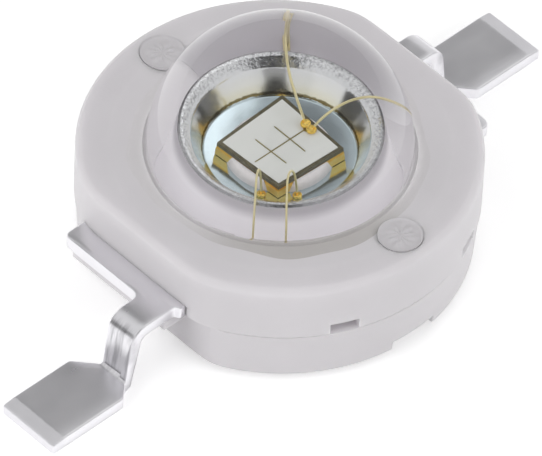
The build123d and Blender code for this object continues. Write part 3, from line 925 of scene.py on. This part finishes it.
SOLDER_TOP = reach("die_carrier")[0][2] + 0.035
die_top = plain_material(
    "roughened_die_top", ("#DCDEDA", "#E6E7E3"), 0.12, (0.3, 0.45), 0.0, 0.002, (0.2, 1, 1)
)
die_side = plain_material(
    "sawn_carrier_wafer", ("#3A3628", "#7C7558"), 0.08, (0.25, 0.4), 0.3, 0.004, (1, 1, 0.2), SOLDER_TOP
)
gilding = plain_material("gold_plated_submount", ("#FFD25C", "#FFEBA0"), 0.10, (0.42, 0.60), 1.0, 0.008)
gold_lines = plain_material("evaporated_gold", ("#A0966C", "#B4A878"), 0.05, (0.3, 0.4), 0.8, 0.001)
gold_wire = plain_material("drawn_gold_wire", ("#EBDCA0", "#F8EFC8"), 0.15, (0.3, 0.4), 1.0, 0.001)
ball_gold = plain_material("melted_gold_ball", ("#FFC83C", "#FFE78A"), 0.04, (0.16, 0.34), 1.0, 0.012)
paste = plain_material("silver_paste", ("#E4DFE0", "#F8F5F6"), 0.07, (0.4, 0.6), 0.0, 0.01)

for node, material in (
    ("submount", gilding), ("die_carrier", die_side), ("die_epi", die_top), ("die_electrode", gold_lines)
):
    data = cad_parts[node].data
    data.materials.clear()
    data.materials.append(material)
    print(node, "shows the CAD solid in", material.name)


# %% [markdown]
# The paste is a round pool, shallow and flat under the plate. Where it reaches past
# the plate, it swells up beside it and slopes down to the cup's floor.


# %% Die attach
def paste_surface():
    """Round pool with a square hollow: from the plate's side it slopes to the floor."""
    half = reach("submount")[1][0]
    pool = reach("die_attach")[1][0]
    climb = reach("submount")[1][2] + 0.03
    a = np.linspace(0, 2 * pi, 360, endpoint=False)[None]
    square = np.minimum(half / np.maximum(np.abs(np.cos(a)), np.abs(np.sin(a))), pool)
    t = np.linspace(0, 1, 12)[:, None]
    slope_r = square + (pool - square) * t
    bulge = (climb - FLOOR_Z) * np.sqrt(np.clip(1 - t**1.6, 0, 1))
    slope_z = FLOOR_Z + 0.004 + bulge * np.clip((pool - square) / 0.04, 0, 1)
    inside_r = np.vstack([0 * a, square])
    inside_z = FLOOR_Z + 0.009 + 0 * inside_r
    r = np.vstack([inside_r, slope_r, pool + 0 * a, 0 * a])
    z = np.vstack([inside_z, slope_z, FLOOR_Z + 0 * a, FLOOR_Z + 0 * a])
    return around(r, a, z)


pool = mesh_piece("die_paste", paste_surface())
show(pool, [paste], "silver_paste", "die_attach")

# %% [markdown]
# Bond wires are drawn gold, 0.038 mm thick. Each starts in a ball squashed onto the
# die's pad or the cup's floor, rises, passes over the cup's rim and comes down to a
# flat stitch on a finger. The line is a smooth curve pulled into shape by points. In
# LOOPS they are (share of the way, rise over the rim, bow to the side), and TURNS
# holds the last such point, its share counted back from the stitch to the neck.

# %% Bond wires
WIRE_R, BALL_R, BALL_H = 0.019, 0.072, 0.055
HEEL_BACK, HEEL_RISE = 0.07, 0.65
STITCH_R, STITCH_DEG = 2.098, (44.4, -18.3, 213.5, 229.5)
STITCH_X, STITCH_Y, STITCH_H = 0.045, 0.03, 0.019
CUP_BALL_R, CUP_BALL_DEG = CUP_FLOOR_R - 0.165, (208.0, 244.0)
PAD = np.array([reach("die_electrode")[1][0] - 0.075, -0.03, PAD_TOP])
PAD_STEP = np.array([-0.005, -0.065, 0.0])


def at_angle(radius, degrees, z):
    """Point at a radius, an angle about the axis and a height."""
    return np.array([radius * cos(radians(degrees)), radius * sin(radians(degrees)), z])


BALLS = [PAD - PAD_STEP, PAD + PAD_STEP]
BALLS += [at_angle(CUP_BALL_R, degrees, FLOOR_Z) for degrees in CUP_BALL_DEG]
STITCHES = [at_angle(STITCH_R, degrees, LEAD_TOP) for degrees in STITCH_DEG]
LOOPS = (
    ((0.08, 0.16, 0.07), (0.35, 0.30, 0.16)),
    ((0.10, 0.16, 0.0), (0.37, 0.36, 0.0)),
    ((0.0, 0.20, -0.03), (0.16, 0.36, -0.08)),
    ((0.0, 0.20, -0.03), (0.16, 0.36, -0.13)),
)
TURNS = ((0.85, 0.18, 0.12), (0.93, 0.25, 0.0), (0.95, 0.12, -0.04), (0.95, 0.12, -0.08))


def smooth_path(points, steps=14):
    """Quadratic spline: an arc from each span's middle to the next, pulled by a point."""
    points = np.array(points)
    middles = (points[1:-2] + points[2:-1]) / 2
    starts = np.vstack([points[:1], middles])[:, None]
    ends = np.vstack([middles, points[-1:]])[:, None]
    pull = points[1:-1][:, None]
    t = np.linspace(0, 1, steps, endpoint=False)[None, :, None]
    line = (1 - t) ** 2 * starts + 2 * t * (1 - t) * pull + t**2 * ends
    return np.vstack([line.reshape(-1, 3), points[-1:]])


def tube(name, line, radius, side):
    """Round section carried along a line that stays nearly square to side."""
    along = np.gradient(line, axis=0)
    along = along / np.linalg.norm(along, axis=1)[:, None]
    up = np.cross(side, along)
    up = up / np.linalg.norm(up, axis=1)[:, None]
    side = np.cross(along, up)[:, None]
    a = np.linspace(0, 2 * pi, 14, endpoint=False)[None, :, None]
    return mesh_piece(name, line[:, None] + radius * (np.cos(a) * side + np.sin(a) * up[:, None]), crease=60)


for number, (start, end, loop, turn_down) in enumerate(zip(BALLS, STITCHES, LOOPS, TURNS), 1):
    way = end - start
    heading = way[:2] / np.hypot(*way[:2])
    aside = np.array([-heading[1], heading[0]])
    route = [start + (0, 0, BALL_H / 2)]
    for share, rise, bow in loop:
        route.append(np.array([*((start + way * share)[:2] + aside * bow), RIM_Z + rise]))
    share, rise, bow = turn_down
    over = (STITCH_R - NECK_R) * share
    route.append(np.array([*(end[:2] - heading * over + aside * bow), RIM_Z + rise]))
    route.append(np.array([*(end[:2] - heading * HEEL_BACK), end[2] + HEEL_RISE]))
    route.append(end + (0, 0, WIRE_R))
    wire = tube(f"gold_wire_{number}", smooth_path(route), WIRE_R, np.array([*aside, 0]))
    low, high = start[2], start[2] + BALL_H
    squashed = rounded([(0, low, 0), (BALL_R, low, 0.02), (BALL_R, high, 0.02), (0, high, 0)])
    cut(wire, turned("ball", squashed, 32, start[:2]), "UNION", 60)
    stitch = rounded_box("stitch", (-STITCH_X, -STITCH_Y, 0), (STITCH_X, STITCH_Y, STITCH_H), 0.009)
    turn_mesh(stitch, np.degrees(np.arctan2(heading[1], heading[0])))
    stitch.data.transform(Matrix.Translation(end * MM))
    cut(wire, stitch, "UNION", 60)
    show(wire, [gold_wire, ball_gold], "gold_wire", f"bond_wire_{number}")
    second_material(wire, lambda c: np.linalg.norm(c - start, axis=1) < BALL_R + 0.02)

# %% [markdown]
# The camera stands where the photograph's did: 45 degrees round, 47 degrees up,
# 185 mm away with a long lens, and turned by 3 degrees about its own axis.

# %% Camera
IMAGE_W, IMAGE_H = 542, 456
AZIMUTH, ELEVATION, ROLL = radians(-45.295), radians(46.602), radians(2.794)
DISTANCE = 184.748
PIXELS_PER_MM = 51.1343
TARGET = np.array([0, 0, 1.5])
TARGET_PIXEL = (278.53, 180.29)
SENSOR = 36
back = np.array([sin(AZIMUTH) * cos(ELEVATION), -cos(AZIMUTH) * cos(ELEVATION), sin(ELEVATION)])
level = np.array([cos(AZIMUTH), sin(AZIMUTH), 0])
upright = np.cross(back, level)
right = cos(ROLL) * level + sin(ROLL) * upright
up = cos(ROLL) * upright - sin(ROLL) * level
off_x = (TARGET_PIXEL[0] - IMAGE_W / 2) / PIXELS_PER_MM
off_y = (IMAGE_H / 2 - TARGET_PIXEL[1]) / PIXELS_PER_MM
eye = TARGET + DISTANCE * back - off_x * right - off_y * up
lens_data = bpy.data.cameras.new("camera")
lens_data.sensor_fit = "HORIZONTAL"
lens_data.sensor_width = SENSOR
lens_data.lens = SENSOR * PIXELS_PER_MM * DISTANCE / IMAGE_W
lens_data.clip_start = 0.001
camera = new_object("camera", lens_data)
pose = np.eye(4)
pose[:3, 0], pose[:3, 1], pose[:3, 2], pose[:3, 3] = right, up, back, eye * MM
camera.matrix_world = Matrix(pose.tolist())
bpy.context.scene.camera = camera
print("camera", np.round(eye, 2), "lens", round(lens_data.lens, 1))

# %% [markdown]
# The studio is a white tent with a white table. Metal and glass need something
# darker to mirror, so the tent has soft dark openings: over the far side, low on
# both sides, and where the camera looks in. Three patches are brighter instead.
# Each row of OPENINGS gives the angle from the camera's side, the elevation, the
# inner and outer radius in degrees, and how much darker it is, or brighter where
# that is below zero. What the camera sees behind the object, directly or through
# the lens, is plain white.


# %% Studio
def direction(degrees, height):
    """Unit vector at an angle about Z from the camera's side, and an elevation."""
    a, e = AZIMUTH + radians(degrees), radians(height)
    return (sin(a) * cos(e), -cos(a) * cos(e), sin(e))


world = bpy.data.worlds.new("white_tent")
bpy.context.scene.world = world
world.use_nodes = True
tree = world.node_tree
tree.nodes.clear()
look = add(tree, "TexCoord").outputs["Generated"]


def opening(light, at, inner, outer, depth):
    """Darkens the light round a direction: full within inner, none past outer."""
    near = add(tree, "VectorMath", {"operation": "DOT_PRODUCT"}, {0: look, 1: at})
    mask = add(
        tree, "MapRange", SMOOTH,
        {
            "Value": near.outputs["Value"],
            "From Min": cos(radians(outer)),
            "From Max": cos(radians(inner)),
            "To Min": 1.0,
            "To Max": 1 - depth,
        },
    )
    return add(tree, "Math", {"operation": "MULTIPLY"}, {0: light, 1: mask})


TENT_LIGHT, TABLE_GLOW = 0.90, 0.40
OPENINGS = (
    (-155, 47, 12, 28, 0.20),
    (-176, 49, 13, 22, 0.60),
    (84, 10, 11, 16, 0.80),
    (99, 6, 6, 11, 0.7),
    (-96, 6, 6, 11, 0.7),
    (-76, 13, 11, 15, 0.90),
    (9, 47, 16, 21, 0.93),
    (9, 25, 8, 12, 0.5),
    (50, 18, 14, 26, -0.08),
    (-48, 18, 12, 24, -0.14),
    (152, 52, 8, 17, -0.85),
)
light = add(tree, "Value").outputs[0]
light.default_value = TENT_LIGHT
for degrees, height, inner, outer, depth in OPENINGS:
    light = opening(light, direction(degrees, height), inner, outer, depth)
print("tent with", len(OPENINGS), "openings")
seen = add(tree, "LightPath")
clear_view = add(tree, "Math", {"operation": "LESS_THAN"}, {0: seen.outputs["Glossy Depth"], 1: 0.5})
through_lens = add(
    tree, "Math", {"operation": "MULTIPLY"}, {0: seen.outputs["Is Transmission Ray"], 1: clear_view}
)
plain = add(tree, "Math", {"operation": "MAXIMUM"}, {0: seen.outputs["Is Camera Ray"], 1: through_lens})
strength = add(tree, "Mix", {}, {"Factor": plain, "A": light, "B": 1.0})
tent = add(tree, "Background", {}, {"Strength": strength.outputs["Result"]})
add(tree, "OutputWorld", {}, {"Surface": tent})

# %% [markdown]
# The table is a large matt sheet. It glows a little where it is seen, directly, in
# a mirror or through the lens, so that it stays as white as the tent. That glow
# lights nothing. Two soft lamps shape the body. They aren't mirrored and don't show
# through the lens, so no lamp shows in the cup.

# %% Table and lamps
table_top, tree, _ = new_material("white_table")
cloth = add(tree, "BsdfDiffuse", {}, {"Color": srgb("#F4F4F4")})
glow = add(tree, "Emission", {}, {"Strength": TABLE_GLOW})
path = add(tree, "LightPath")
viewed = add(
    tree, "Math", {"operation": "MAXIMUM"},
    {0: path.outputs["Is Camera Ray"], 1: path.outputs["Is Transmission Ray"]},
)
viewed = add(tree, "Math", {"operation": "MAXIMUM"}, {0: viewed, 1: path.outputs["Is Glossy Ray"]})
none = add(tree, "Emission", {}, {"Strength": 0.0})
extra = add(tree, "MixShader", {}, {0: viewed, 1: none, 2: glow})
whole = add(tree, "AddShader", {}, {0: cloth, 1: extra})
output(tree, whole)
HALF_TABLE = 1500.0
corner = np.array([-HALF_TABLE, HALF_TABLE])
square = np.stack(np.meshgrid(corner, corner), -1)
data = bpy.data.meshes.new("table")
points = np.concatenate([square, np.full((2, 2, 1), -0.01)], -1).reshape(-1, 3) * MM
data.from_pydata(points, [], [(0, 1, 3, 2)])
table = new_object("table", data)
table.data.materials.append(table_top)


def softbox(name, degrees, height, distance, size, watts):
    """Square lamp that faces the LED from that side."""
    lamp = bpy.data.lights.new(name, "AREA")
    lamp.shape = "SQUARE"
    lamp.size = size * MM
    lamp.energy = watts
    holder = new_object(name, lamp)
    away = Vector(direction(degrees, height))
    holder.rotation_euler = away.to_track_quat("Z", "Y").to_euler()
    holder.location = away * distance * MM
    holder.visible_glossy = False
    holder.visible_transmission = False
    print(name, watts, "W")


softbox("left_softbox", -55, 24, 220, 140, 0.15)
softbox("right_softbox", 70, 22, 260, 140, 0.15)

bpy.context.scene.view_settings.view_transform = "Standard"
